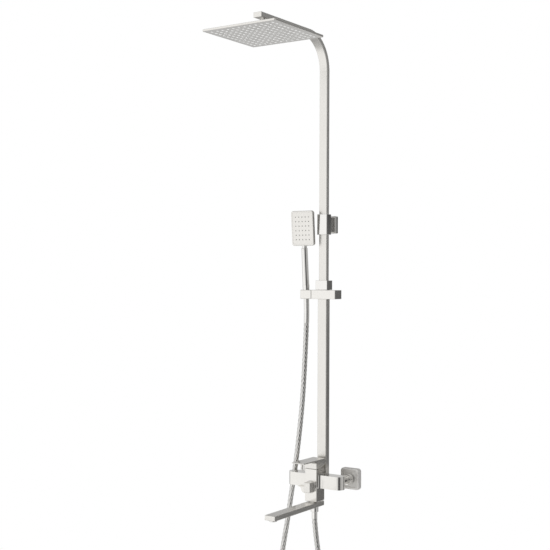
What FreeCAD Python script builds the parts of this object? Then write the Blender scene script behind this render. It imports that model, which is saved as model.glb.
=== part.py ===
import FreeCAD, Part
import math
import os
import re
import Sketcher
from FreeCAD import Placement, Rotation, Vector

# Wall-mounted rainfall shower column: single-lever mixer, swivel bath spout, telescopic riser with a
# square rain head, slider with a hand shower, and a steel hose.
# Frame: origin on the wall, midway between the two water inlets; X along the wall, +Y into it, Z up.

DOC = FreeCAD.newDocument("ShowerColumn")

# alias: (millimetres or degrees, what it is)
SIZES = {
    "inlet_spacing": (150, "centre to centre of the wall inlets"),
    "inlet_thread_r": (10.48, "outside radius of the G1/2 wall thread"),
    "inlet_thread_reach": (15, "thread length behind the wall face"),
    "union_r": (13, "outside radius of the connector in the union"),
    "water_r": (8, "waterway radius in the inlets"),
    "flange_side": (65, "square wall flange"),
    "flange_deep": (16, "depth of the wall flange"),
    "tail_r": (11, "radius of the mixer's inlet tails"),
    "arm_half_high": (20, "half height of the mixer's inlet arms"),
    "arm_y": (-88, "centre line of the inlet arms"),
    "arm_r": (20, "half depth of the arms and radius of their ends"),
    "arm_end_x": (77, "centre of the rounded arm ends"),
    "axis_y": (-99, "vertical axis of cartridge, spout and hose outlet"),
    "column_wide": (42, "mixer column across"),
    "column_deep": (46, "mixer column front to back"),
    "column_top": (38.5, "top of the mixer column"),
    "column_bottom": (-61, "underside of the mixer column"),
    "web_r": (12, "blend between column side and arm front"),
    "boss_back": (-34, "back of the riser boss"),
    "boss_top": (12, "top of the riser boss"),
    "chamber_r": (17.5, "cartridge chamber"),
    "hub_r": (11.5, "turning hub of the cartridge"),
    "pivot_high": (44, "height of the lever's lift pivot"),
    "cap_deep": (50, "lever cap front to back"),
    "cap_bottom": (39.5, "underside of the lever cap"),
    "lever_top": (67, "top of the lever"),
    "lever_wide": (44, "lever plate across"),
    "lever_thick": (4.2, "thickness of the lever plate"),
    "lever_front": (-195, "front edge of the lever plate"),
    "diverter_high": (-15.5, "height of the diverter axis"),
    "knob_wide": (22, "diverter knob across"),
    "knob_high": (30, "diverter knob upright"),
    "knob_front": (-144, "front of the diverter knob"),
    "bonnet_r": (19, "round plate behind the diverter knob"),
    "spindle_r": (6, "diverter spindle"),
    "spout_wide": (36, "spout across"),
    "spout_top": (-64, "top of the spout"),
    "spout_thick": (14.5, "spout thickness"),
    "spout_tip": (-342.5, "front end of the spout"),
    "spout_back": (-72, "rear end of the spout"),
    "post_r": (11.4, "fixed post that the spout turns on"),
    "aerator_y": (-325, "aerator axis"),
    "aerator_r": (12, "aerator ring radius"),
    "riser_y": (-50, "axis of the riser tubes"),
    "lower_wide": (32, "lower tube across"),
    "lower_deep": (21, "lower tube front to back"),
    "lower_top": (594, "top end of the lower tube"),
    "tube_wall": (1.5, "wall of both tubes"),
    "upper_wide": (28, "upper tube across"),
    "upper_deep": (15, "upper tube front to back"),
    "upper_foot": (400, "lower end of the upper tube"),
    "arm_top": (1377, "top face of the overhead arm"),
    "bend_r": (110, "outside radius of the overhead bend"),
    "arm_tip": (-413.5, "front end of the overhead arm"),
    "slip": (0.3, "clearance of sliding parts"),
    "collar_wide": (42, "collar block across"),
    "collar_deep": (32, "collar block front to back"),
    "collar_low": (586.3, "underside of the collar block"),
    "collar_tall": (29, "height of the collar block"),
    "bracket_low": (757.5, "underside of the bracket sleeve"),
    "bracket_tall": (64, "height of the bracket sleeve"),
    "sleeve_wide": (35.4, "bracket sleeve across"),
    "sleeve_front": (-63, "front of the bracket sleeve"),
    "sleeve_back": (-36, "back of the bracket sleeve"),
    "bracket_mid": (789.5, "height of the bracket's wall fixing"),
    "bracket_hole_r": (2.3, "screw holes of the bracket base"),
    "bracket_pitch": (30, "distance between the bracket's screw holes"),
    "slider_left": (-34, "left end of the slider bar"),
    "slider_right": (52.3, "right end of the slider bar"),
    "slider_deep": (40, "slider front to back"),
    "slider_mid": (571.5, "height of the slider's centre"),
    "slider_tall": (28, "height of slider and cradle"),
    "cradle_left": (-75.4, "left end of the cradle"),
    "handset_x": (-60, "hand shower axis, along the wall"),
    "handset_y": (-57, "hand shower axis, at the cradle's centre"),
    "handset_lean": (4.5, "forward lean of the hand shower, degrees"),
    "cone_low_r": (9.6, "small end of the handset's cone nut"),
    "cone_top_r": (11, "large end of the handset's cone nut"),
    "cone_top": (30, "top of the cone nut above the cradle's centre"),
    "handle_top": (145, "top of the handle above the cradle's centre"),
    "handle_low_r": (10.4, "handle radius at its foot"),
    "handle_top_r": (9.7, "handle radius at its top"),
    "panel_low": (153, "underside of the handset's head above the cradle's centre"),
    "panel_wide": (81, "handset head across"),
    "panel_tall": (109, "handset head upright"),
    "panel_thick": (18, "handset head front to back"),
    "head_y": (-382, "centre of the rain head"),
    "head_side": (250, "square rain head"),
    "head_low": (1318.7, "underside of the rain head"),
    "head_thick": (6, "rim of the rain head"),
    "ball_high": (1346, "centre of the rain head's ball joint"),
    "ball_r": (8.5, "ball radius"),
    "nozzle_rows": (12, "nozzles along each side of the rain head"),
    "nozzle_pitch": (19, "distance between rain head nozzles"),
    "hose_r": (8, "outside radius of the hose"),
    "outlet_low": (-116.5, "where the hose leaves its lower ferrule"),
}

DIMS = DOC.addObject("Spreadsheet::Sheet", "Dims")
for row, (alias, (size, note)) in enumerate(SIZES.items(), 1):
    DIMS.set(f"A{row}", note)
    DIMS.set(f"B{row}", str(size))
    DIMS.setAlias(f"B{row}", alias)
DOC.recompute()


def bound(text):
    """An expression in which every alias is looked up in the sheet."""
    return re.sub(r"[a-z][a-z_]+", lambda m: f"Dims.{m.group()}" if m.group() in SIZES else m.group(), text)


def size(alias):
    return float(DIMS.get(alias))


# ---------------------------------------------------------------- building blocks

def origin_plane(body, role):
    return next(f for f in body.Origin.OriginFeatures if f.Role == role)


def place(obj, x="0", y="0", z="0"):
    for axis, text in (("x", x), ("y", y), ("z", z)):
        if text != "0":
            obj.setExpression(f"Placement.Base.{axis}", bound(text))
    return obj


def new_body(label):
    body = DOC.addObject("PartDesign::Body", label)
    body.Label = label
    return body


def outline(body, role, points):
    """A closed sketch through points. A third item on a point is the centre of an arc to the next point,
    whose "free" coordinate then follows from the arc."""
    sketch = body.newObject("Sketcher::SketchObject", "Outline")
    sketch.AttachmentSupport = [(origin_plane(body, role), "")]
    sketch.MapMode = "FlatFace"
    at = [Vector(*[number(text) for text in p[:2]], 0) for p in points]
    for i, point in enumerate(points):
        a, b = at[i], at[(i + 1) % len(at)]
        if len(point) == 2:
            sketch.addGeometry(Part.LineSegment(a, b))
        else:
            c = Vector(*[number(text) for text in point[2][:2]], 0)
            sketch.addGeometry(short_arc(a, b, c))
    ends = [arc_ends(sketch.Geometry[i], at[i]) for i in range(len(points))]
    for i in range(len(points)):
        following = (i + 1) % len(points)
        sketch.addConstraint(Sketcher.Constraint("Coincident", i, ends[i][1], following, ends[following][0]))
    for i, point in enumerate(points):
        fix_point(sketch, i, ends[i][0], point[:2], free=point[2][2] if len(point) > 2 else "")
        if len(point) > 2:
            fix_point(sketch, i, 3, point[2][:2])
    return sketch


def short_arc(a, b, centre):
    """The shorter arc about centre from a to b, as a sketch draws it."""
    circle = Part.Circle(centre, Vector(0, 0, 1), (a - centre).Length)
    low, high = sorted((circle.parameter(a), circle.parameter(b)))
    if high - low > math.pi:
        low, high = high, low + math.tau
    return Part.ArcOfCircle(circle, low, high)


def arc_ends(geometry, start):
    """Which end of the sketch's curve is start, and which the other."""
    return (1, 2) if geometry.StartPoint.distanceToPoint(start) < 1e-6 else (2, 1)


def fix_point(sketch, curve, end, where, free=""):
    for axis, kind, text in (("x", "DistanceX", where[0]), ("y", "DistanceY", where[1])):
        if axis == free:
            continue
        if abs(number(text)) < 1e-9:
            line = -2 if axis == "x" else -1
            sketch.addConstraint(Sketcher.Constraint("PointOnObject", curve, end, line))
        else:
            index = sketch.addConstraint(Sketcher.Constraint(kind, -1, 1, curve, end, number(text)))
            sketch.setExpression(f"Constraints[{index}]", bound(text))


def number(text):
    """The value of an expression, for a sketch's first draft."""
    value = DIMS.evalExpression(bound(text))
    return float(getattr(value, "Value", value))


def pad(body, sketch, length, midplane=False, back=False):
    feature = body.newObject("PartDesign::Pad", "Pad")
    feature.Profile = sketch
    feature.setExpression("Length", bound(length))
    feature.Midplane = midplane
    feature.Reversed = back
    DOC.recompute()
    return feature


def cut_out(body, sketch, length, midplane=False, back=False):
    """A pocket, which has to take material away."""
    before = body.Shape.Volume
    feature = body.newObject("PartDesign::Pocket", "Pocket")
    feature.Profile = sketch
    feature.setExpression("Length", bound(length))
    feature.Midplane = midplane
    feature.Reversed = back
    DOC.recompute()
    if body.Shape.Volume > before - 0.1:
        raise SystemExit(f"{body.Label}: a pocket cuts nothing")
    return feature


def runs_along(edge, axis):
    return isinstance(edge.Curve, Part.Line) and abs(edge.Curve.Direction.dot(axis)) > 0.999


def rounded(body, radius, axis=None):
    """Rounds the edges along axis, or all of them."""
    return round_edges(body, [axis is None or runs_along(e, axis) for e in body.Shape.Edges], radius)


def round_edges(body, chosen, radius):
    """Rounds the chosen edges; chosen holds a yes or no for each edge."""
    base = body.Tip
    fillet = body.newObject("PartDesign::Fillet", "Rounding")
    fillet.Base = (base, [f"Edge{i}" for i, take in enumerate(chosen, 1) if take])
    fillet.setExpression("Radius", bound(radius))
    DOC.recompute()
    if not fillet.isValid():
        raise SystemExit(f"{body.Label}: a rounding failed")
    return body


def rectangle(wide, deep, x="0", y="0"):
    left, right = f"{x} - ({wide}) / 2", f"{x} + ({wide}) / 2"
    front, back = f"{y} - ({deep}) / 2", f"{y} + ({deep}) / 2"
    return [(left, front), (right, front), (right, back), (left, back)]


def block(label, wide, deep, tall, x="0", y="0", z="0", edge="1", upright=None):
    """An upright block with its base at z, its uprights rounded by upright and every edge by edge."""
    body = new_body(label)
    pad(body, outline(body, "XY_Plane", rectangle(wide, deep)), tall)
    if upright:
        rounded(body, upright, Vector(0, 0, 1))
    if edge:
        if upright:
            round_edges(body, [e.BoundBox.ZLength < 1e-6 for e in body.Shape.Edges], edge)
        else:
            rounded(body, edge)
    return place(body, x, y, z)


def turned(label, profile, x="0", y="0", z="0", along="z"):
    """A turned piece: profile holds (radius, height) points. along "y" lays its axis front to back,
    with heights growing towards the wall."""
    body = new_body(label)
    sketch = outline(body, "XZ_Plane", profile)
    turn = body.newObject("PartDesign::Revolution", "Turn")
    turn.Profile = sketch
    turn.ReferenceAxis = (sketch, ["V_Axis"])
    turn.Angle = 360
    DOC.recompute()
    if along == "y":
        body.Placement = Placement(Vector(), Rotation(Vector(1, 0, 0), -90))
    elif along == "x":
        body.Placement = Placement(Vector(), Rotation(Vector(0, 1, 0), 90))
    return place(body, x, y, z)


def tube_profile(outer, inner, low, high):
    return [(inner, low), (outer, low), (outer, high), (inner, high)]


def box(name, low, high):
    """A plain box between two corners, each three expressions."""
    obj = DOC.addObject("Part::Box", name)
    for key, a, b in zip(("Length", "Width", "Height"), low, high):
        obj.setExpression(key, bound(f"({b}) - ({a})"))
    return place(obj, *low)


def rod(name, radius, length, x="0", y="0", z="0", along="z"):
    obj = DOC.addObject("Part::Cylinder", name)
    obj.setExpression("Radius", bound(radius))
    obj.setExpression("Height", bound(length))
    if along == "y":
        obj.Placement = Placement(Vector(), Rotation(Vector(1, 0, 0), -90))
    elif along == "x":
        obj.Placement = Placement(Vector(), Rotation(Vector(0, 1, 0), 90))
    return place(obj, x, y, z)


def united(label, *pieces):
    obj = DOC.addObject("Part::MultiFuse", label)
    obj.Shapes = list(pieces)
    obj.Label = label
    return obj


def less(label, base, *tools):
    obj = DOC.addObject("Part::Cut", label)
    obj.Base = base
    obj.Tool = tools[0] if len(tools) == 1 else united(f"{label}_cutters", *tools)
    obj.Label = label
    return obj


def group(label, *pieces):
    obj = DOC.addObject("Part::Compound", label)
    obj.Links = list(pieces)
    obj.Label = label
    return obj


NODES = []


def keep(*pieces):
    NODES.extend(pieces)


# ---------------------------------------------------------------- wall connections

SIDES = {"left": "-1", "right": "1"}


def wall_connections():
    washers = []
    for side, sign in SIDES.items():
        x = f"{sign} * inlet_spacing / 2"
        connector = [("water_r", "-27"), ("union_r", "-27"), ("union_r", "-2"), ("inlet_thread_r", "-2"),
                     ("inlet_thread_r", "inlet_thread_reach"), ("0", "inlet_thread_reach"), ("0", "-2"),
                     ("water_r", "-2")]
        keep(turned(f"inlet_connector_{side}", connector, x=x, along="y"))
        nut = [("tail_r + 0.3", "-36"), ("15", "-36"), ("15.8", "-35"), ("15.8", "-18"), ("15", "-17"),
               ("union_r + 0.3", "-17"), ("union_r + 0.3", "-31.3"), ("tail_r + 0.3", "-31.3")]
        keep(turned(f"union_nut_{side}", nut, x=x, along="y"))
        washers.append(turned(f"washer_{side}", tube_profile("union_r - 0.2", "water_r", "-28", "-27"),
                              x=x, along="y"))
        keep(wall_flange(f"wall_flange_{side}", x))
    keep(group("inlet_washers", *washers))


def wall_flange(label, x):
    """A square, round-cornered flange with a shallow dish in its front."""
    body = new_body(label)
    pad(body, outline(body, "XZ_Plane", rectangle("flange_side", "flange_side")), "flange_deep")
    rounded(body, "9", Vector(0, 1, 0))
    round_edges(body, [e.BoundBox.YMax < 1e-3 - size("flange_deep") for e in body.Shape.Edges], "3")
    dish = outline(body, "XZ_Plane", rectangle("flange_side - 14", "flange_side - 14"))
    dish.AttachmentOffset = Placement(Vector(0, 0, size("flange_deep")), Rotation())
    cut_out(body, dish, "2")
    hole = body.newObject("Sketcher::SketchObject", "Hole")
    hole.AttachmentSupport = [(origin_plane(body, "XZ_Plane"), "")]
    hole.MapMode = "FlatFace"
    hole.addGeometry(Part.Circle(Vector(), Vector(0, 0, 1), number("union_r + 1")))
    hole.addConstraint(Sketcher.Constraint("Coincident", 0, 3, -1, 1))
    index = hole.addConstraint(Sketcher.Constraint("Radius", 0, number("union_r + 1")))
    hole.setExpression(f"Constraints[{index}]", bound("union_r + 1"))
    cut_out(body, hole, "4 * flange_deep", midplane=True)
    return place(body, x=x)


# ---------------------------------------------------------------- mixer

def mixer_body():
    """The casting: column, inlet arms with round ends, blends, riser boss and inlet tails, bored for
    cartridge, diverter, post, riser and water."""
    column = block("column", "column_wide", "column_deep", "column_top - column_bottom",
                   y="axis_y", z="column_bottom", edge="1.2")
    solids = [column,
              box("arms", ("-arm_end_x", "arm_y - arm_r", "-arm_half_high"),
                  ("arm_end_x", "arm_y + arm_r", "arm_half_high")),
              block("boss", "column_wide", "arm_y + arm_r - 10 - boss_back", "arm_half_high + boss_top",
                    y="(arm_y + arm_r - 10 + boss_back) / 2", z="-arm_half_high", edge="1.2")]
    cutters = [rod("chamber", "chamber_r", "column_top - 1", y="axis_y", z="2"),
               rod("post_bore", "post_r - 1.4", "25", y="axis_y", z="column_bottom - 1"),
               rod("water_down", "5", "60", y="axis_y", z="column_bottom + 4"),
               rod("diverter_bore", "10", "30", y="axis_y - column_deep / 2 - 1", z="diverter_high", along="y"),
               box("riser_socket", ("-lower_wide / 2 - slip", "riser_y - lower_deep / 2 - slip", "4"),
                   ("lower_wide / 2 + slip", "riser_y + lower_deep / 2 + slip", "boss_top + 20")),
               box("spigot_socket", ("-14.2", "riser_y - 7.7", "-8"), ("14.2", "riser_y + 7.7", "5")),
               rod("riser_water", "5", "50", y="-90", z="-12", along="y")]
    for side, sign in SIDES.items():
        x = f"{sign} * arm_end_x"
        solids.append(rod(f"arm_end_{side}", "arm_r", "2 * arm_half_high", x=x, y="arm_y", z="-arm_half_high"))
        solids.append(arm_blend(side, sign))
        inlet = f"{sign} * inlet_spacing / 2"
        solids.append(rod(f"tail_{side}", "tail_r", "-30 - arm_y", x=inlet, y="arm_y", along="y"))
        solids.append(rod(f"tail_lip_{side}", "union_r", "2.9", x=inlet, y="-30.9", along="y"))
        cutters.append(rod(f"inlet_water_{side}", "water_r", "62", x=inlet, y="arm_y - 2", along="y"))
    cutters.append(rod("cross_water", "7", "inlet_spacing", x="-inlet_spacing / 2", y="arm_y", z="-2", along="x"))
    solids.append(left_web())
    whole = united("mixer_solid", *solids)
    keep(less("mixer_body", whole, *cutters))


def arm_blend(side, sign):
    """The hollow blend between the column's side and the arm's front."""
    body = new_body(f"blend_{side}")
    near, far = f"{sign} * (column_wide / 2 - 1)", f"{sign} * (column_wide / 2 + web_r)"
    edge, face = f"{sign} * column_wide / 2", "arm_y - arm_r"
    sketch = outline(body, "XY_Plane", [
        (near, f"{face} + 1"), (far, f"{face} + 1"), (far, face, (far, f"{face} - web_r", "y")),
        (edge, f"{face} - web_r"), (near, f"{face} - web_r")])
    pad(body, sketch, "2 * arm_half_high")
    return place(body, z="-arm_half_high")


def left_web():
    """The curved web under the left arm."""
    body = new_body("web_left")
    sketch = outline(body, "XZ_Plane", [
        ("-20", "-19"), ("-50", "-19"), ("-50", "-20"), ("-46", "-20", ("-46", "-30", "y")),
        ("-36", "-30"), ("-32", "-36"), ("-20", "-40")])
    pad(body, sketch, "18")
    return place(body, y="-102")


def cartridge():
    keep(turned("cartridge", [("0", "2.3"), ("chamber_r - 0.3", "2.3"), ("chamber_r - 0.3", "30"), ("0", "30")],
                y="axis_y"))
    keep(turned("cartridge_nut", tube_profile("chamber_r - 0.3", "hub_r + 0.5", "30.2", "column_top - 0.5"),
                y="axis_y"))
    hub = rod("hub_solid", "hub_r", "18", y="axis_y", z="30.3")
    slot = box("hub_slot", ("-4.6", "axis_y - 12", "36"), ("4.6", "axis_y + 12", "50"))
    pin_hole = rod("hub_pin_hole", "1.5", "24", x="-12", y="axis_y", z="pivot_high", along="x")
    keep(less("cartridge_hub", hub, slot, pin_hole))
    pin = rod("lever_pin", "1.5", "20", x="-10", y="axis_y", z="pivot_high", along="x")
    pin.Label = "lever_pin"
    keep(pin)


def lever():
    """A flat lever plate over a hollow cap, whose underside rises towards the back so that it can lift."""
    body = new_body("lever_solid")
    front, back = "axis_y - cap_deep / 2", "axis_y + cap_deep / 2"
    plate_low = "(lever_top - lever_thick)"
    sketch = outline(body, "YZ_Plane", [
        ("lever_front", "lever_top - 3"), (f"{front} - 14", plate_low), (front, f"{plate_low} - 6"),
        (front, "cap_bottom"), ("axis_y", "cap_bottom"), (back, "cap_bottom + 8.4"), (back, "lever_top"),
        ("lever_front", "lever_top")])
    pad(body, sketch, "lever_wide", midplane=True)
    rounded(body, "1")
    hollow = box("lever_hollow", ("-16.5", f"{front} + 4", "30"), ("16.5", f"{back} - 4", "lever_top - 7"))
    screw_hole = rod("lever_screw_hole", "2.3", "30", y="axis_y + 3", z="55", along="y")
    keep(less("lever_handle", body, hollow, screw_hole))
    stem = box("stem_solid", ("-4.2", "axis_y - 4.5", "38.5"), ("4.2", "axis_y + 4.5", "lever_top - 7"))
    pin_hole = rod("stem_pin_hole", "1.55", "12", x="-6", y="axis_y", z="pivot_high", along="x")
    screw_seat = rod("stem_screw_seat", "2.3", "4", y="axis_y + 2", z="55", along="y")
    keep(less("lever_stem", stem, pin_hole, screw_seat))
    screw = rod("lever_screw", "2.2", "21.5", y="axis_y + 2.2", z="55", along="y")
    screw.Label = "lever_screw"
    keep(screw)


def diverter():
    front = "axis_y - column_deep / 2"
    bonnet = [("spindle_r + 0.08", f"{front} - 3"), ("bonnet_r - 0.8", f"{front} - 3"),
              ("bonnet_r", f"{front} - 2.2"), ("bonnet_r", f"{front} - 0.1"), ("9.8", f"{front} - 0.1"),
              ("9.8", f"{front} + 18"), ("spindle_r + 0.08", f"{front} + 18")]
    keep(turned("diverter_bonnet", bonnet, z="diverter_high", along="y"))
    spindle = [("0", "knob_front + 5"), ("spindle_r", "knob_front + 5"), ("spindle_r", f"{front} + 18.5"),
               ("8.5", f"{front} + 18.5"), ("8.5", f"{front} + 24"), ("0", f"{front} + 24")]
    keep(turned("diverter_spindle", spindle, z="diverter_high", along="y"))
    knob = block("knob_solid", "knob_wide", f"{front} - 3.4 - knob_front", "knob_high",
                 y=f"(knob_front + {front} - 3.4) / 2", z="diverter_high - knob_high / 2", edge="1.6")
    socket = rod("knob_socket", "spindle_r + 0.02", "30", y="knob_front + 5", z="diverter_high", along="y")
    keep(less("diverter_knob", knob, socket))


def spout():
    top, low = "spout_top", "spout_top - spout_thick"
    post = [("5", "-93"), ("10.3", "-93"), ("10.3", f"{low} - 1"), ("post_r", f"{low} - 1"),
            ("post_r", "column_bottom - 0.1"), ("post_r - 1.5", "column_bottom - 0.1"),
            ("post_r - 1.5", "column_bottom + 16"), ("5", "column_bottom + 16")]
    keep(turned("spout_post", post, y="axis_y"))
    keep(turned("spout_ring", tube_profile("17", "post_r + 0.2", "spout_top + 0.3", "column_bottom - 0.3"),
                y="axis_y"))
    solid = block("spout_solid", "spout_wide", "spout_back - spout_tip", "spout_thick",
                  y="(spout_back + spout_tip) / 2", z=low, edge="1.2")
    eye = rod("spout_eye", "post_r + 0.08", "spout_thick + 4", y="axis_y", z=f"{low} - 2")
    channel = box("spout_channel", ("-12", "aerator_y", f"{low} + 4.5"), ("12", "axis_y", "spout_top - 3.5"))
    mouth = rod("spout_mouth", "aerator_r + 0.05", "8", y="aerator_y", z=f"{low} - 1")
    keep(less("spout_body", solid, eye, channel, mouth))
    ring = [("9.7", "-83"), ("aerator_r - 1", "-83"), ("aerator_r", "-82"), ("aerator_r", f"{low} + 6"),
            ("9.7", f"{low} + 6")]
    keep(turned("aerator_ring", ring, y="aerator_y"))
    insert = rod("aerator_insert", "9.6", "9", y="aerator_y", z="-82")
    insert.Label = "aerator_insert"
    keep(insert)


# ---------------------------------------------------------------- riser tubes and their fixings

def hollow_block(label, wide, deep, low, high, hole_wide, hole_deep, y="riser_y", edge="0.8"):
    solid = block(f"{label}_solid", wide, deep, f"{high} - ({low})", y=y, z=low, edge=edge)
    hole = box(f"{label}_hole", (f"-({hole_wide}) / 2", f"riser_y - ({hole_deep}) / 2", f"{low} - 5"),
               (f"({hole_wide}) / 2", f"riser_y + ({hole_deep}) / 2", f"{high} + 5"))
    return solid, hole


def lower_tube():
    body = new_body("lower_tube")
    pad(body, outline(body, "XY_Plane", rectangle("lower_wide", "lower_deep")), "lower_top - 4.3")
    rounded(body, "2", Vector(0, 0, 1))
    bore = outline(body, "XY_Plane", rectangle("lower_wide - 2 * tube_wall", "lower_deep - 2 * tube_wall"))
    cut_out(body, bore, "lower_top", back=True)
    keep(place(body, y="riser_y", z="4.3"))
    spigot = block("spigot_solid", "28.4", "15.4", "44", y="riser_y", z="-8", edge=None, upright="1")
    keep(less("riser_spigot", spigot, rod("spigot_water", "5", "60", y="riser_y", z="-15")))


def upper_tube():
    """The upper tube, bent forward over a quarter circle into the overhead arm."""
    body = new_body("upper_tube")
    back, front = "riser_y + upper_deep / 2", "riser_y - upper_deep / 2"
    centre_y, centre_z = f"{back} - bend_r", "arm_top - bend_r"
    under, tip = "arm_top - upper_deep", "arm_tip + 2.2"
    sketch = outline(body, "YZ_Plane", [
        (front, "upper_foot"), (back, "upper_foot"), (back, centre_z, (centre_y, centre_z, "x")),
        (centre_y, "arm_top"), (tip, "arm_top"), (tip, under), (centre_y, under, (centre_y, centre_z, "y")),
        (front, centre_z)])
    pad(body, sketch, "upper_wide", midplane=True)
    round_edges(body, [e.BoundBox.XLength < 1e-3 and e.Length > 50 for e in body.Shape.Edges], "2")
    wall = "tube_wall"
    bore = outline(body, "YZ_Plane", [
        (f"{front} + {wall}", "upper_foot - 5"), (f"{back} - {wall}", "upper_foot - 5"),
        (f"{back} - {wall}", centre_z, (centre_y, centre_z, "x")), (centre_y, f"arm_top - {wall}"),
        (f"{tip} - 5", f"arm_top - {wall}"), (f"{tip} - 5", f"{under} + {wall}"),
        (centre_y, f"{under} + {wall}", (centre_y, centre_z, "y")), (f"{front} + {wall}", centre_z)])
    cut_out(body, bore, "upper_wide - 2 * tube_wall", midplane=True)
    outlet = rod("arm_outlet", "10.35", "8", y="head_y", z=f"{under} - 4")
    keep(less("upper_tube_bored", body, outlet))
    NODES[-1].Label = "upper_tube_whole"
    cap = block("arm_end_cap", "upper_wide", "2.1", "upper_deep", y="arm_tip + 1.05", z=under, edge="0.7")
    keep(cap)


def ball_joint():
    """A ball on the arm's nipple, its seat, and the nut that swivels about it with the rain head."""
    ball, under = "ball_high", "arm_top - upper_deep"
    reach = f"ball_r * cos(36)"
    nipple = [("0", f"{ball} - ball_r", ("0", ball, "y")), (f"ball_r * sin(36)", f"{ball} + {reach}"),
              ("ball_r * sin(36)", f"{under} - 3"), ("10.3", f"{under} - 3"), ("10.3", f"{under} + tube_wall + 2"),
              ("0", f"{under} + tube_wall + 2")]
    keep(turned("arm_nipple", nipple, y="head_y"))
    low, high = -50, 35
    inner, outer = "(ball_r + 0.05)", "(ball_r + 1.3)"
    seat = [(f"{inner} * cos({low})", f"{ball} + {inner} * sin({low})"),
            (f"{outer} * cos({low})", f"{ball} + {outer} * sin({low})", ("0", ball, "y")),
            (f"{outer} * cos({high})", f"{ball} + {outer} * sin({high})"),
            (f"{inner} * cos({high})", f"{ball} + {inner} * sin({high})", ("0", ball, "y"))]
    keep(turned("head_ball_seat", seat, y="head_y"))
    cavity = "(ball_r + 1.45)"
    nut = [("5", "head_low + 6.2"), ("10.1", "head_low + 6.2"), ("10.1", "head_low + 15"),
           ("12.2", "head_low + 15"), ("12.2", f"{ball} + 5.5"), ("11", f"{ball} + 7"),
           (f"{cavity} * cos(42)", f"{ball} + 7"), (f"{cavity} * cos(38)", f"{ball} + {cavity} * sin(38)",
           ("0", ball, "y")),
           (f"{cavity} * cos(-58)", f"{ball} + {cavity} * sin(-58)"), ("5", f"{ball} - {cavity} * sin(58)")]
    keep(turned("head_swivel_nut", nut, y="head_y"))


def rain_head():
    low, top = "head_low", "head_low + head_thick"
    plate = block("head_plate", "head_side", "head_side", "head_thick", y="head_y", z=low, edge="1", upright="5")
    boss = turned("head_boss", [("0", f"{top} - 1"), ("27", f"{top} - 1"), ("27", f"{top} + 1.5"),
                                ("16", f"{top} + 8.8"), ("0", f"{top} + 8.8")], y="head_y")
    inside = box("head_hollow", ("-head_side / 2 + 2", "head_y - head_side / 2 + 2", f"{low} - 1"),
                 ("head_side / 2 - 2", "head_y + head_side / 2 - 2", f"{top} - 1.5"))
    bore = rod("head_bore", "10.2", "20", y="head_y", z=low)
    keep(less("head_shell", united("head_solid", plate, boss), inside, bore))
    sheet_side = "head_side - 5"
    face = block("face_solid", sheet_side, sheet_side, "1.2", y="head_y", z=f"{low} + 0.1", edge=None, upright="3")
    sheet = block("mat_solid", sheet_side, sheet_side, "1.6", y="head_y", z=f"{low} + 1.4", edge=None, upright="3")
    holes, tips = nozzle_grid()
    keep(less("head_face", face, holes), united("head_nozzle_mat", sheet, tips))
    keep(turned("head_filter", tube_profile("9.8", "4", f"{low} + 3.2", f"{low} + 6"), y="head_y"))


def nozzle_grid():
    """The holes of the face and the nozzles of the mat, in one pattern."""
    rows, pitch, low = int(size("nozzle_rows")), size("nozzle_pitch"), size("head_low")
    start = -(rows - 1) / 2 * pitch
    spots = [(start + i * pitch, size("head_y") + start + j * pitch) for i in range(rows) for j in range(rows)]
    holes = Part.makeCompound([Part.makeCylinder(1.9, 3, Vector(x, y, low - 1)) for x, y in spots])
    tips = Part.makeCompound([Part.makeCone(1.3, 1.7, 2.6, Vector(x, y, low - 1)) for x, y in spots])
    made = []
    for name, shape in (("head_holes", holes), ("head_tips", tips)):
        feature = DOC.addObject("Part::Feature", name)
        feature.Shape = shape
        made.append(feature)
    return made


def collar():
    high = "collar_low + collar_tall"
    solid, hole = hollow_block("collar", "collar_wide", "collar_deep", "collar_low", high,
                               "upper_wide + 2 * slip", "upper_deep + 2 * slip")
    step = box("collar_step", ("-lower_wide / 2 - 0.15", "riser_y - lower_deep / 2 - 0.15", "collar_low - 5"),
               ("lower_wide / 2 + 0.15", "riser_y + lower_deep / 2 + 0.15", "lower_top + 6"))
    screw_hole = rod("collar_screw_hole", "2.1", "20", y="riser_y + 4", z="collar_low + 23", along="y")
    keep(less("collar_block", solid, hole, step, screw_hole))
    solid, hole = hollow_block("seal", "lower_wide", "lower_deep", "lower_top + 0.3", "lower_top + 5.7",
                               "upper_wide + 0.2", "upper_deep + 0.2", edge=None)
    keep(less("collar_seal", solid, hole))
    screw = rod("collar_screw", "2", "7.4", y="riser_y + upper_deep / 2 + 0.5", z="collar_low + 23", along="y")
    screw.Label = "collar_screw"
    keep(screw)


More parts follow.
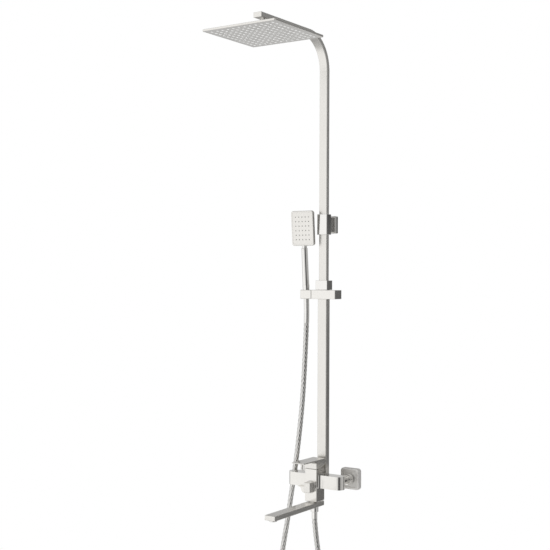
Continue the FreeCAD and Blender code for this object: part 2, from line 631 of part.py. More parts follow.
def bracket():
    """The sleeve that steadies the upper tube, its hollow post, the wall base and the cover over it."""
    high = "bracket_low + bracket_tall"
    middle = "(sleeve_front + sleeve_back) / 2"
    solid, hole = hollow_block("sleeve", "sleeve_wide", "sleeve_back - sleeve_front", "bracket_low", high,
                               "upper_wide + 2 * slip", "upper_deep + 2 * slip", y=middle, edge="1.6")
    post = block("post_solid", "28", "-5.2 - sleeve_back + 3", "46", y="(-5.2 + sleeve_back - 3) / 2",
                 z="bracket_mid - 23", edge="1")
    socket = box("post_socket", ("-10.2", "-26", "bracket_mid - 14.2"), ("10.2", "1", "bracket_mid + 14.2"))
    heads = box("screw_head_room", ("-10.2", "-12", "bracket_mid - 20"), ("10.2", "1", "bracket_mid + 20"))
    screw_hole = rod("post_screw_hole", "2.1", "14", y="-19", z="bracket_mid - 25")
    keep(less("bracket_arm", united("bracket_solid", solid, post), hole, socket, heads, screw_hole))
    plate = block("base_plate", "34", "4.8", "46", y="-2.4", z="bracket_mid - 23", edge=None, upright="2")
    lug = box("base_lug", ("-10", "-25", "bracket_mid - 10"), ("10", "-1", "bracket_mid + 10"))
    holes = [rod(f"base_hole_{end}", "bracket_hole_r", "10", z=f"bracket_mid + {sign} * bracket_pitch / 2",
                 y="-8", along="y") for end, sign in (("low", "-1"), ("high", "1"))]
    keep(less("bracket_base", united("base_solid", plate, lug), *holes))
    shell = block("cover_solid", "44", "16", "55", y="-8", z="bracket_mid - 27.5", edge="3.5")
    inside = box("cover_hollow", ("-18", "-13", "bracket_mid - 24"), ("18", "1", "bracket_mid + 24"))
    window = box("cover_window", ("-14.3", "-20", "bracket_mid - 23.3"), ("14.3", "-10", "bracket_mid + 23.3"))
    keep(less("bracket_cover", shell, inside, window))
    screw = rod("bracket_screw", "2", "12.6", y="-19", z="bracket_mid - 22.8")
    screw.Label = "bracket_screw"
    keep(screw)


# ---------------------------------------------------------------- slider, cradle and hand shower

def slider():
    wide, low = "(slider_right - slider_left)", "slider_mid - slider_tall / 2"
    solid = block("slider_solid", wide, "slider_deep", "slider_tall", x="(slider_right + slider_left) / 2",
                  y="riser_y", z=low, edge="1.2")
    hole = box("slider_hole", ("-18", "riser_y - 12.5", f"{low} - 5"), ("18", "riser_y + 12.5", f"{low} + 40"))
    seat = rod("axle_seat", "5", "12", x="slider_left - 1", y="riser_y", z="slider_mid", along="x")
    keep(less("slider_bar", solid, hole, seat))
    solid, hole = hollow_block("liner", "35.8", "24.8", f"{low} + 1", f"{low} + slider_tall - 1",
                               "lower_wide + 2 * slip", "lower_deep + 2 * slip", edge=None)
    keep(less("slider_liner", solid, hole))
    axle = rod("cradle_axle", "4.95", "22", x="slider_left - 11", y="riser_y", z="slider_mid", along="x")
    axle.Label = "cradle_axle"
    keep(axle)


def cradle():
    """A block with a round left end that turns on the slider's axle and has a tapered seat."""
    low = "slider_mid - slider_tall / 2"
    body = block("cradle_solid", "slider_left - 0.3 - cradle_left", "slider_deep", "slider_tall",
                 x="(slider_left - 0.3 + cradle_left) / 2", y="riser_y", z=low, edge="2.4")
    bore = rod("axle_bore", "5", "12", x="slider_left - 12", y="riser_y", z="slider_mid", along="x")
    seat = handset_frame(turned("cradle_seat", [
        ("0", "-slider_tall"), ("cone_low_r + 2.2", "-slider_tall"), ("cone_low_r + 2.2", "-slider_tall / 2 + 3"),
        ("cone_low_r + 0.35", "-slider_tall / 2 + 6"), ("cone_top_r + 0.35", "cone_top"), ("0", "cone_top")]))
    keep(less("cradle", body, bore, seat))


def handset_frame(obj):
    """Puts a piece made about an upright axis onto the leaning axis of the hand shower."""
    obj.Placement = Placement(Vector(), Rotation(Vector(1, 0, 0), size("handset_lean")))
    return place(obj, "handset_x", "handset_y", "slider_mid")


def hand_shower():
    foot = "-slider_tall / 2 + 0.5"
    cone = [("hose_r + 0.35", foot), ("cone_low_r", foot), ("cone_low_r", "-slider_tall / 2 + 6"),
            ("cone_top_r", "cone_top"), ("5", "cone_top"), ("5", "16.2"), ("hose_r + 0.35", "16.2")]
    keep(handset_frame(turned("handset_cone_nut", cone)))
    handle = [("5", "cone_top + 0.3"), ("handle_low_r", "cone_top + 0.3"), ("handle_top_r", "handle_top - 1"),
              ("handle_top_r - 1", "handle_top"), ("5", "handle_top")]
    keep(handset_frame(turned("handset_handle", handle)))
    neck = [("5", "handle_top"), ("8.2", "handle_top"), ("7.6", "handle_top + 4"), ("8.2", "panel_low + 0.5"),
            ("5", "panel_low + 0.5")]
    keep(handset_frame(turned("handset_neck", neck)))
    front = panel("shell_front", "panel_wide", "panel_tall", "-panel_thick / 2", "11", "8", "2.4")
    back = panel("shell_back", "panel_wide - 21", "panel_tall - 6", "0", "panel_thick / 2", "8", "3",
                 middle="panel_low + panel_tall / 2 - 3")
    recess = panel("face_recess", "panel_wide - 10", "panel_tall - 10", "-panel_thick / 2 - 1", "5.5", "5", None)
    hollow = panel("shell_hollow", "panel_wide - 26", "panel_tall - 16", "-panel_thick / 2 + 3", "12.5", "5", None)
    neck_seat = handset_frame(turned("neck_seat", [("0", "panel_low - 5"), ("8.3", "panel_low - 5"),
                                                   ("8.3", "panel_low + 0.6"), ("0", "panel_low + 0.6")]))
    water = handset_frame(turned("neck_water", [("0", "panel_low - 5"), ("5", "panel_low - 5"),
                                                ("5", "panel_low + 20"), ("0", "panel_low + 20")]))
    keep(less("handset_shell", united("shell_solid", front, back), recess, hollow, neck_seat, water))
    face = panel("face_sheet", "panel_wide - 10.4", "panel_tall - 10.4", "-panel_thick / 2 + 0.2", "1.4", "5", None)
    mat = panel("mat_sheet", "panel_wide - 10.4", "panel_tall - 10.4", "-panel_thick / 2 + 1.8", "2.4", "5", None)
    holes, tips = handset_nozzles()
    keep(less("handset_face", face, holes), united("handset_nozzle_mat", mat, tips))


def panel(name, wide, tall, front, thick, corner, edge, middle="panel_low + panel_tall / 2"):
    """A round-cornered upright panel of the handset's head, from front towards the wall."""
    body = new_body(name)
    pad(body, outline(body, "XZ_Plane", rectangle(wide, tall, y=middle)), thick, back=True)
    rounded(body, corner, Vector(0, 1, 0))
    if edge:
        round_edges(body, [e.BoundBox.YLength < 1e-6 for e in body.Shape.Edges], edge)
    handset_frame(body)
    lean = math.radians(size("handset_lean"))
    body.setExpression("Placement.Base.y", bound(f"handset_y + ({front}) * {math.cos(lean):.6f}"))
    body.setExpression("Placement.Base.z", bound(f"slider_mid + ({front}) * {math.sin(lean):.6f}"))
    return body


def handset_nozzles():
    columns, rows, across, up = 5, 6, 12.0, 14.1
    middle, front = size("panel_low") + size("panel_tall") / 2, -size("panel_thick") / 2
    frame = Placement(Vector(size("handset_x"), size("handset_y"), size("slider_mid")),
                      Rotation(Vector(1, 0, 0), size("handset_lean")))
    spots = [((i - (columns - 1) / 2) * across, middle + (j - (rows - 1) / 2) * up)
             for i in range(columns) for j in range(rows)]
    towards_wall = Vector(0, 1, 0)
    holes = [Part.makeCylinder(1.8, 4, Vector(x, front - 1, z), towards_wall) for x, z in spots]
    tips = [Part.makeCone(1.1, 1.6, 3.3, Vector(x, front - 1, z), towards_wall) for x, z in spots]
    made = []
    for name, shapes in (("handset_holes", holes), ("handset_tips", tips)):
        feature = DOC.addObject("Part::Feature", name)
        feature.Shape = Part.makeCompound(shapes)
        feature.Placement = frame
        made.append(feature)
    return made


# ---------------------------------------------------------------- hose

# From the ferrule under the spout, down and round in a hanging loop, and up behind the left arm into
# the hand shower's cone nut. The last point lies on the leaning axis of the hand shower.
HOSE_ROUTE = [
    (0, -99, -116.5), (4.5, -99, -166), (15, -97, -232), (26, -93, -314), (26, -88, -402),
    (-8.4, -83, -449.5), (-64, -78, -467.4), (-119.6, -73, -449.5), (-154, -68, -402), (-153, -63, -318),
    (-143.5, -59, -235), (-126.5, -57, -142), (-111, -56, -42), (-97.5, -56, 38), (-84, -55.5, 140),
    (-73.5, -55, 240), (-67, -54.5, 345), (-62.5, -53, 450), (-60.3, -53.3, 525), (-60, -58.2, 587.4),
]


def hose():
    points = [Vector(*p) for p in HOSE_ROUTE]
    points[0] = Vector(0, size("axis_y"), size("outlet_low"))
    edges, radii, start = [], [], points[0]
    for before, corner, after in zip(points, points[1:], points[2:]):
        into, out = (corner - before), (after - corner)
        run = min(into.Length, out.Length)
        turn = into.getAngle(out)
        radius = 0.45 * run / math.tan(turn / 2)
        back = 0.45 * run
        a = corner - into.normalize().multiply(back)
        b = corner + out.normalize().multiply(back)
        inward = (out - into).normalize()
        middle = corner + inward.multiply(radius / math.cos(turn / 2) - radius)
        edges.append(Part.LineSegment(start, a).toShape())
        edges.append(Part.Arc(a, middle, b).toShape())
        radii.append(radius)
        start = b
    edges.append(Part.LineSegment(start, points[-1]).toShape())
    path = Part.Wire(edges)
    radius = size("hose_r")
    ring = Part.Wire([Part.Circle(points[0], points[1] - points[0], radius).toShape()])
    tube = path.makePipeShell([ring], True, True)
    print("hose radii", [round(r) for r in radii], "length", round(path.Length, 1),
          "volume share", round(tube.Volume / (math.pi * radius ** 2 * path.Length), 4))
    feature = DOC.addObject("Part::Feature", "hose")
    feature.Shape = tube
    keep(feature)


def hose_fittings():
    """The nut, washer and ferrule that hold the hose to the thread under the spout."""
    nut = [("8.8", "-96"), ("11", "-96"), ("12", "-95"), ("12", "-81.2"), ("11.2", "-80.4"), ("10.5", "-80.4"),
           ("10.5", "-95"), ("8.8", "-95")]
    keep(turned("hose_nut", nut, y="axis_y"))
    keep(turned("hose_washer", tube_profile("10.2", "5", "-94", "-93"), y="axis_y"))
    ferrule = [("0", "outlet_low"), ("8.5", "outlet_low"), ("8.5", "-95"), ("10.2", "-95"), ("10.2", "-94"),
               ("0", "-94")]
    keep(turned("hose_ferrule", ferrule, y="axis_y"))


# ---------------------------------------------------------------- build, check and write

def check_document():
    for obj in DOC.Objects:
        if "Invalid" in obj.State or "Error" in obj.State:
            raise SystemExit(f"{obj.Label} failed: {obj.State}")
    for piece in NODES:
        if piece.Shape.isNull() or not piece.Shape.isValid() or not piece.Shape.Solids:
            raise SystemExit(f"{piece.Label} has no valid solid")


def main():
    wall_connections()
    mixer_body()
    cartridge()
    lever()
    diverter()
    spout()
    lower_tube()
    upper_tube()
    ball_joint()
    rain_head()
    collar()
    bracket()
    slider()
    cradle()
    hand_shower()
    hose_fittings()
    hose()
    DOC.recompute()
    check_document()
    os.makedirs("parts", exist_ok=True)
    for piece in NODES:
        name = {"upper_tube_whole": "upper_tube"}.get(piece.Label, piece.Label)
        piece.Shape.exportStep(f"parts/{name}.step")
        print(f"{name:24} {len(piece.Shape.Solids)} solids {piece.Shape.Volume / 1000:9.2f} cm3")


main()
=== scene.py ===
import math

import bmesh
import bpy
from mathutils import Matrix, Vector


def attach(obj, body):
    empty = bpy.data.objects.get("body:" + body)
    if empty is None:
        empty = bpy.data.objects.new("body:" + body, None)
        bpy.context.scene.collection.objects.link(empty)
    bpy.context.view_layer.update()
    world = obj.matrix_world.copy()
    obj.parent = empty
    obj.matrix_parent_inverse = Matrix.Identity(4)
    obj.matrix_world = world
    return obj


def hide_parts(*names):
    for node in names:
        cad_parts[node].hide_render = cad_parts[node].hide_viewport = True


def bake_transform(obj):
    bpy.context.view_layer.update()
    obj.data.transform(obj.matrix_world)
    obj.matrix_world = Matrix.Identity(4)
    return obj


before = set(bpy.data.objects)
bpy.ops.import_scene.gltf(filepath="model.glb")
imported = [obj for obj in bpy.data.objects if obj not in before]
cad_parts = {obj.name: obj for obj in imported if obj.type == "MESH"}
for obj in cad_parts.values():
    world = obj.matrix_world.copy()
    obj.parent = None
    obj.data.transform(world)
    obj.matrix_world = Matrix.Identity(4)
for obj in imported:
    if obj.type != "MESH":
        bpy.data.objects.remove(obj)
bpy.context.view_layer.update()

# ---------------------------------------------------------------- camera and light

EYE = Vector((1.7294, -2.8535, 0.6317))
HEADING = math.radians(34.319)         # the camera looks this far to the left of the wall's normal
ROLL = math.radians(0.22)
LENS = 69.12

BASE_LEVEL = 0.58
LOBES = (                     # axis, cosines where the lobe starts and is full, level added
    ((-0.55, -0.83, -0.1), 0.3, 0.8, 0.95),         # front left
    ((0.56, 0.83, 0.0), 0.3, 0.75, 0.24),           # back right
    ((0.53, 0.85, 0.0), 0.984, 0.996, -0.64),       # dark patch in the back right, level
    ((0.5, 0.8, 0.34), 0.95, 0.985, -0.50),         # the same, higher
    ((0.5, 0.8, -0.32), 0.95, 0.985, -0.60),        # the same, lower
    ((0.75, -0.65, 0.0), 0.92, 0.96, -0.50),        # dark patch to the front right
    ((0.1, -1.0, 0.0), 0.975, 0.99, -0.50),         # dark patch straight in front
    ((-0.56, 0.83, -0.25), 0.8, 0.97, 0.42),        # back left, a little below level
    ((-0.2, 0.3, 1.0), 0.3, 0.9, -0.12),            # overhead
)


def add_camera():
    data = bpy.data.cameras.new("camera")
    data.lens = LENS
    data.sensor_width = 36.0
    data.clip_start, data.clip_end = 0.05, 60.0
    camera = bpy.data.objects.new("camera", data)
    bpy.context.collection.objects.link(camera)
    forward = Vector((-math.sin(HEADING), math.cos(HEADING), 0.0))
    right = Vector((math.cos(HEADING), math.sin(HEADING), 0.0))
    up = Vector((0.0, 0.0, 1.0))
    side = right * math.cos(ROLL) + up * math.sin(ROLL)
    top = up * math.cos(ROLL) - right * math.sin(ROLL)
    camera.matrix_world = Matrix.Translation(EYE) @ Matrix((side, top, -forward)).transposed().to_4x4()
    bpy.context.scene.camera = camera


def add_world():
    """A studio whose brightness depends on direction, seen only in reflections, before a plain white."""
    world = bpy.data.worlds.new("studio")
    bpy.context.scene.world = world
    world.use_nodes = True
    tree = world.node_tree
    tree.nodes.clear()
    direction = tree.nodes.new("ShaderNodeTexCoord").outputs["Generated"]

    def lobe(axis, start, end, level, base):
        """Adds level to base where the direction is within a cone about axis."""
        dot = tree.nodes.new("ShaderNodeVectorMath")
        dot.operation = "DOT_PRODUCT"
        tree.links.new(direction, dot.inputs[0])
        dot.inputs[1].default_value = Vector(axis).normalized()
        ramp = tree.nodes.new("ShaderNodeMapRange")
        ramp.interpolation_type = "SMOOTHSTEP"
        for name, value in (("From Min", start), ("From Max", end), ("To Min", 0.0), ("To Max", level)):
            ramp.inputs[name].default_value = value
        tree.links.new(dot.outputs["Value"], ramp.inputs["Value"])
        add = tree.nodes.new("ShaderNodeMath")
        add.operation = "ADD"
        tree.links.new(ramp.outputs["Result"], add.inputs[0])
        if isinstance(base, float):
            add.inputs[1].default_value = base
        else:
            tree.links.new(base, add.inputs[1])
        return add.outputs["Value"]

    level = BASE_LEVEL
    for axis, start, end, added in LOBES:
        level = lobe(axis, start, end, added, level)
    studio = tree.nodes.new("ShaderNodeBackground")
    tree.links.new(level, studio.inputs["Strength"])
    plain = tree.nodes.new("ShaderNodeBackground")
    path = tree.nodes.new("ShaderNodeLightPath")
    mix = tree.nodes.new("ShaderNodeMixShader")
    tree.links.new(path.outputs["Is Camera Ray"], mix.inputs[0])
    tree.links.new(studio.outputs[0], mix.inputs[1])
    tree.links.new(plain.outputs[0], mix.inputs[2])
    plain.inputs["Color"].default_value = (1.0, 1.0, 1.0, 1.0)
    plain.inputs["Strength"].default_value = 1.0
    out = tree.nodes.new("ShaderNodeOutputWorld")
    tree.links.new(mix.outputs[0], out.inputs["Surface"])


def add_softbox(name, place, target, size, power):
    """A rectangular lamp that lights surfaces without showing in their reflections."""
    data = bpy.data.lights.new(name, "AREA")
    data.shape = "RECTANGLE"
    data.size, data.size_y = size
    data.energy = power
    lamp = bpy.data.objects.new(name, data)
    bpy.context.collection.objects.link(lamp)
    aim = Vector(target) - Vector(place)
    lamp.visible_glossy = False
    lamp.matrix_world = Matrix.Translation(place) @ aim.to_track_quat("-Z", "Y").to_matrix().to_4x4()


add_camera()
add_world()
bpy.context.scene.view_settings.view_transform = "Standard"
add_softbox("key", (-2.2, -3.0, 1.9), (0.0, -0.1, 0.6), (1.6, 2.4), 5.0)
add_softbox("overhead", (0.0, -0.4, 3.2), (0.0, -0.4, 0.0), (3.0, 3.0), 45.0)
add_softbox("bounce", (-0.6, -1.9, -0.5), (0.0, -0.4, 1.3), (1.2, 1.2), 14.0)


# ---------------------------------------------------------------- materials

class Nodes:
    """A material's node tree with a few short ways to add to it."""

    def __init__(self, name):
        self.material = bpy.data.materials.new(name)
        self.material.use_nodes = True
        self.tree = self.material.node_tree
        self.shader = self.tree.nodes["Principled BSDF"]
        self.place = self.tree.nodes.new("ShaderNodeTexCoord").outputs["Object"]

    def node(self, kind, **settings):
        made = self.tree.nodes.new(kind)
        for key, value in settings.items():
            setattr(made, key, value)
        return made

    def link(self, source, target):
        self.tree.links.new(source, target)

    def stretched(self, scale):
        mapping = self.node("ShaderNodeMapping")
        mapping.inputs["Scale"].default_value = scale
        self.link(self.place, mapping.inputs["Vector"])
        return mapping.outputs["Vector"]

    def noise(self, scale, detail=2.0, stretch=None):
        noise = self.node("ShaderNodeTexNoise")
        noise.inputs["Scale"].default_value = scale
        noise.inputs["Detail"].default_value = detail
        self.link(self.stretched(stretch) if stretch else self.place, noise.inputs["Vector"])
        return noise.outputs["Fac"]

    def ranged(self, value, low, high):
        ramp = self.node("ShaderNodeMapRange")
        ramp.inputs["From Min"].default_value = 0.25
        ramp.inputs["From Max"].default_value = 0.75
        ramp.inputs["To Min"].default_value = low
        ramp.inputs["To Max"].default_value = high
        self.link(value, ramp.inputs["Value"])
        return ramp.outputs["Result"]

    def tint(self, value, dark, light):
        mix = self.node("ShaderNodeMix", data_type="RGBA")
        mix.inputs["A"].default_value = (*dark, 1.0)
        mix.inputs["B"].default_value = (*light, 1.0)
        self.link(value, mix.inputs["Factor"])
        self.link(mix.outputs["Result"], self.shader.inputs["Base Color"])

    def bump(self, value, strength, distance):
        bump = self.node("ShaderNodeBump")
        bump.inputs["Strength"].default_value = strength
        bump.inputs["Distance"].default_value = distance
        self.link(value, bump.inputs["Height"])
        self.link(bump.outputs["Normal"], self.shader.inputs["Normal"])


SCRATCH_DEPTH = 0.000006
GRAIN = {"x": (1.0, 60.0, 60.0), "y": (60.0, 1.0, 60.0), "z": (60.0, 60.0, 1.0), "none": (1.0, 1.0, 1.0)}


def metal(name, light, dark, rough, grain, depth):
    """Brushed or polished metal: fine scratches along the grain, with slightly uneven colour and gloss."""
    m = Nodes(name)
    m.shader.inputs["Metallic"].default_value = 1.0
    scratches = m.noise(20.0, 3.0, GRAIN[grain])
    clouds = m.noise(9.0, 3.0)
    m.tint(m.ranged(clouds, 0.0, 1.0), dark, light)
    m.link(m.ranged(scratches, rough * 0.9, rough * 1.12), m.shader.inputs["Roughness"])
    m.bump(scratches, depth, SCRATCH_DEPTH)
    return m.material


def plastic(name, light, dark, rough):
    """Plastic, rubber or paint with slightly uneven colour and gloss and a very fine grain."""
    m = Nodes(name)
    m.shader.inputs["Metallic"].default_value = 0.0
    m.tint(m.ranged(m.noise(30.0, 3.0), 0.0, 1.0), dark, light)
    m.link(m.ranged(m.noise(400.0, 2.0), rough * 0.85, rough * 1.15), m.shader.inputs["Roughness"])
    m.bump(m.noise(1500.0, 1.0), 0.05, 0.0001)
    return m.material


NICKEL_LIGHT, NICKEL_DARK = (0.69, 0.675, 0.645), (0.66, 0.645, 0.615)
LOOKS = {
    "nickel_upright": metal("nickel_upright", NICKEL_LIGHT, NICKEL_DARK, 0.27, "z", 0.05),
    "nickel_across": metal("nickel_across", NICKEL_LIGHT, NICKEL_DARK, 0.27, "x", 0.05),
    "nickel_forward": metal("nickel_forward", NICKEL_LIGHT, NICKEL_DARK, 0.27, "y", 0.05),
    "polished": metal("polished", (0.74, 0.73, 0.71), (0.72, 0.71, 0.69), 0.09, "none", 0.03),
    "satin": metal("satin", (0.72, 0.705, 0.675), (0.68, 0.665, 0.635), 0.17, "z", 0.03),
    "flange_metal": metal("flange_metal", (0.84, 0.825, 0.80), (0.78, 0.765, 0.74), 0.5, "x", 0.05),
    "brass": metal("brass", (0.78, 0.60, 0.30), (0.70, 0.52, 0.25), 0.3, "none", 0.1),
    "steel": metal("steel", (0.5, 0.5, 0.5), (0.42, 0.42, 0.42), 0.35, "none", 0.1),
    "dark_plastic": plastic("dark_plastic", (0.03, 0.03, 0.03), (0.02, 0.02, 0.02), 0.5),
    "light_plastic": plastic("light_plastic", (0.62, 0.62, 0.60), (0.56, 0.56, 0.54), 0.4),
    "silicone": plastic("silicone", (0.40, 0.40, 0.39), (0.30, 0.30, 0.29), 0.55),
    "silicone_pale": plastic("silicone_pale", (0.95, 0.95, 0.94), (0.90, 0.90, 0.89), 0.45),
    "head_sheet": metal("head_sheet", (0.53, 0.52, 0.50), (0.50, 0.49, 0.47), 0.3, "y", 0.25),
    "rubber": plastic("rubber", (0.03, 0.03, 0.03), (0.015, 0.015, 0.015), 0.7),
    "hose_steel": metal("hose_steel", (0.76, 0.75, 0.73), (0.70, 0.69, 0.67), 0.14, "none", 0.05),
    # the groove colour is painted shade: the hose steel made much darker where the hollows of the wrap fall
    # in shade
    "hose_groove_painted_shade": metal("hose_groove_painted_shade", (0.26, 0.255, 0.245), (0.20, 0.195, 0.185), 0.35, "none", 0.05),
}

NODE_LOOKS = {
    "nickel_upright": ("lower_tube", "upper_tube", "diverter_knob", "handset_shell", "handset_face"),
    "nickel_across": ("arm_end_cap",),
    "satin": ("mixer_body", "slider_bar", "cradle"),
    "flange_metal": ("wall_flange_left", "wall_flange_right"),
    "nickel_forward": ("lever_handle", "spout_body", "head_shell"),
    "head_sheet": ("head_face",),
    "silicone_pale": ("head_nozzle_mat",),
    "polished": ("inlet_connector_left", "inlet_connector_right", "union_nut_left", "union_nut_right",
                 "collar_block", "bracket_arm", "bracket_cover", "diverter_bonnet", "spout_ring",
                 "aerator_ring", "head_swivel_nut", "cartridge_nut", "hose_nut", "hose_ferrule",
                 "arm_nipple", "handset_handle", "handset_neck", "handset_cone_nut"),
    "brass": ("cartridge_hub", "diverter_spindle", "spout_post", "riser_spigot", "lever_stem"),
    "steel": ("lever_pin", "lever_screw", "collar_screw", "bracket_screw", "bracket_base", "cradle_axle"),
    "dark_plastic": ("cartridge", "slider_liner", "head_ball_seat"),
    "light_plastic": ("aerator_insert", "head_filter"),
    "silicone": ("handset_nozzle_mat",),
    "rubber": ("inlet_washers", "hose_washer", "collar_seal"),
}


def paint(node, look):
    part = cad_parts[node]
    if not part.data.materials:
        part.data.materials.append(look)
    for slot in part.material_slots:
        slot.material = look


for look, nodes in NODE_LOOKS.items():
    for node in nodes:
        paint(node, LOOKS[look])


# ---------------------------------------------------------------- building pieces

def shown(name, mesh, *looks):
    """A finished bmesh as a shown object with these looks."""
    data = bpy.data.meshes.new(name)
    mesh.to_mesh(data)
    mesh.free()
    for look in looks:
        data.materials.append(look)
    piece = bpy.data.objects.new(name, data)
    bpy.context.collection.objects.link(piece)
    return piece


def swept(spine, around, radius_at, look_at):
    """A closed tube along spine. radius_at takes a ring and an angle, look_at a ring and a place round it."""
    mesh = bmesh.new()
    ahead = (spine[1] - spine[0]).normalized()
    side = ahead.orthogonal().normalized()
    rings = []
    for n, point in enumerate(spine):
        following = (spine[min(n + 1, len(spine) - 1)] - spine[max(n - 1, 0)]).normalized()
        side = (ahead.rotation_difference(following) @ side).normalized()
        ahead = following
        other = ahead.cross(side)
        ring = []
        for k in range(around):
            angle = math.tau * k / around
            outward = side * math.cos(angle) + other * math.sin(angle)
            ring.append(mesh.verts.new(point + outward * radius_at(n, angle)))
        rings.append(ring)
    for n, (a, b) in enumerate(zip(rings, rings[1:])):
        for k in range(around):
            face = mesh.faces.new((a[k], a[(k + 1) % around], b[(k + 1) % around], b[k]))
            face.smooth = True
            face.material_index = look_at(n, k)
    mesh.faces.new(reversed(rings[0]))
    mesh.faces.new(rings[-1])
    return mesh


# ---------------------------------------------------------------- hose

HOSE_RADIUS = 0.008
STRANDS = 7
WRAP_PITCH = 0.096            # length in which a strand of the wrap goes once round the hose
WRAP_DEPTH = 0.0010
GROOVE_SHADE_LIMIT = 0.5                  # below this height, as a share of the depth, a strand's flank gets painted shade, a darker copy of the hose steel
AROUND = 42
STEPS_PER_TURN = 36

SLEEVE_LOW = 0.48             # where the sleeve over the hose's upper end begins
SLEEVE_OVERLAP = 0.008        # how far the main piece reaches into the sleeve
SLEEVE_RADIUS = 0.0085
SLEEVE_RIB = 0.0003
STUB_LOW = 0.550
STUB_RADIUS = 0.0072
END_AROUND = 24
END_STEP = 0.0012
END_CHAMFER = 0.0005

HOSE_ROUTE = [
    (0, -0.099, -0.1165), (0.0045, -0.099, -0.166), (0.015, -0.097, -0.232), (0.026, -0.093, -0.314),
    (0.026, -0.088, -0.402), (-0.0084, -0.083, -0.4495), (-0.064, -0.078, -0.4674),
    (-0.1196, -0.073, -0.4495), (-0.154, -0.068, -0.402), (-0.153, -0.063, -0.318),
    (-0.1435, -0.059, -0.235), (-0.1265, -0.057, -0.142), (-0.111, -0.056, -0.042),
    (-0.0975, -0.056, 0.038), (-0.084, -0.0555, 0.140), (-0.0735, -0.055, 0.240),
    (-0.067, -0.0545, 0.345), (-0.0625, -0.053, 0.450), (-0.0603, -0.0533, 0.525),
    (-0.060, -0.0582, 0.5874),
]


def hose_path():
    """Closely spaced points on the route's NURBS spline."""
    curve = bpy.data.curves.new("hose_route", "CURVE")
    curve.dimensions = "3D"
    spline = curve.splines.new("NURBS")
    spline.points.add(len(HOSE_ROUTE) - 1)
    for point, place in zip(spline.points, HOSE_ROUTE):
        point.co = (*place, 1.0)
    spline.order_u = 3
    spline.use_endpoint_u = True
    curve.resolution_u = 64
    holder = bpy.data.objects.new("hose_route", curve)
    mesh = bpy.data.meshes.new_from_object(holder)
    points = [v.co.copy() for v in mesh.vertices]
    bpy.data.meshes.remove(mesh)
    bpy.data.objects.remove(holder)
    bpy.data.curves.remove(curve)
    return points


def evenly(points, step):
    """Points about one step apart along a polyline, both ends kept."""
    lengths = [0.0]
    for a, b in zip(points, points[1:]):
        lengths.append(lengths[-1] + (b - a).length)
    count = round(lengths[-1] / step)
    spaced, i = [], 0
    for n in range(count + 1):
        goal = lengths[-1] * n / count
        while i < len(points) - 2 and lengths[i + 1] < goal:
            i += 1
        share = (goal - lengths[i]) / max(lengths[i + 1] - lengths[i], 1e-12)
        spaced.append(points[i].lerp(points[i + 1], min(max(share, 0.0), 1.0)))
    return spaced


def strand_height(n, angle):
    """Height of the wrap at ring n and this angle, from 0 in a groove to 1 on a strand, before rounding."""
    return abs(math.cos(STRANDS * (math.tau * n / STEPS_PER_TURN + angle) / 2))


def add_hose():
    """The main piece of the hose, whose surface carries the raised, slanting strands of its steel wrap, with
    painted shade on the groove faces between them.
    """
    route = evenly(hose_path(), WRAP_PITCH / STEPS_PER_TURN)
    spine = [p for p in route if p.z < SLEEVE_LOW + SLEEVE_OVERLAP]

    def radius_at(n, angle):
        return HOSE_RADIUS - WRAP_DEPTH * (1 - strand_height(n, angle) ** 1.5)

    # faces low in a groove get material 1, the painted shade of the grooves
    def look_at(n, k):
        return 1 if strand_height(n + 0.5, math.tau * (k + 0.5) / AROUND) < GROOVE_SHADE_LIMIT else 0

    hose = shown("shower_hose", swept(spine, AROUND, radius_at, look_at),
                 LOOKS["hose_steel"], LOOKS["hose_groove_painted_shade"])
    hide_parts("hose")
    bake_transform(hose)


def add_end_piece(name, low, radius, rib):
    """A short round length over the hose's upper end, from height low up into the handset's nut."""
    spine = evenly([p for p in hose_path() if p.z > low], END_STEP)

    def radius_at(n, angle):
        return radius - rib * (n % 4 == 0) - (END_CHAMFER if n == 0 else 0.0)

    return shown(name, swept(spine, END_AROUND, radius_at, lambda n, k: 0), LOOKS["hose_steel"])


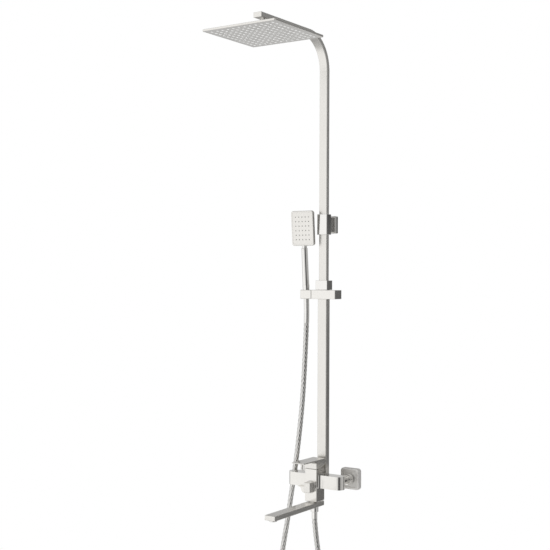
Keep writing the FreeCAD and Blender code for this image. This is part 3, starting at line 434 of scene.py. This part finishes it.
add_hose()
sleeve = add_end_piece("hose_sleeve", SLEEVE_LOW, SLEEVE_RADIUS, SLEEVE_RIB)
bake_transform(sleeve)
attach(add_end_piece("hose_stub", STUB_LOW, STUB_RADIUS, 0.0), "handset")


# ---------------------------------------------------------------- rain head nozzles

HEAD_CENTRE = (0.0, -0.382)
HEAD_FACE = 1.3188                     # underside of the face sheet
NOZZLE_ROWS, NOZZLE_PITCH = 12, 0.019
SKIRT = ((0.0046, 0.0), (0.0042, -0.0004), (0.0030, -0.0008))      # radius and drop of each step
SKIRT_SIDES = 12


def add_skirt(mesh, x, y):
    """One stepped skirt below the face sheet at x, y."""
    rings = []
    for radius, drop in SKIRT:
        angles = [math.tau * k / SKIRT_SIDES for k in range(SKIRT_SIDES)]
        rings.append([mesh.verts.new((x + radius * math.cos(a), y + radius * math.sin(a), HEAD_FACE + drop))
                      for a in angles])
    for upper, lower in zip(rings, rings[1:]):
        for k in range(SKIRT_SIDES):
            after = (k + 1) % SKIRT_SIDES
            mesh.faces.new((upper[k], lower[k], lower[after], upper[after])).smooth = True
    mesh.faces.new(rings[0])
    mesh.faces.new(reversed(rings[-1]))


def add_nozzle_skirts():
    """The pale soft skirt round every nozzle of the rain head."""
    mesh = bmesh.new()
    start = -(NOZZLE_ROWS - 1) / 2 * NOZZLE_PITCH
    left, front = HEAD_CENTRE[0] + start, HEAD_CENTRE[1] + start
    for i in range(NOZZLE_ROWS):
        for j in range(NOZZLE_ROWS):
            add_skirt(mesh, left + i * NOZZLE_PITCH, front + j * NOZZLE_PITCH)
    bmesh.ops.recalc_face_normals(mesh, faces=mesh.faces)
    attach(shown("nozzle_skirts", mesh, LOOKS["silicone_pale"]), "rain_head")


add_nozzle_skirts()


# ---------------------------------------------------------------- floor

FLOOR_LEVEL = -0.66
FLOOR_RADIUS = 1.3


def add_floor():
    mesh = bmesh.new()
    bmesh.ops.create_circle(mesh, cap_ends=True, segments=96, radius=FLOOR_RADIUS)
    floor = shown("floor", mesh, plastic("floor_paint", (0.86, 0.86, 0.85), (0.83, 0.83, 0.82), 0.6))
    floor.location = (0.0, -0.1, FLOOR_LEVEL)


add_floor()
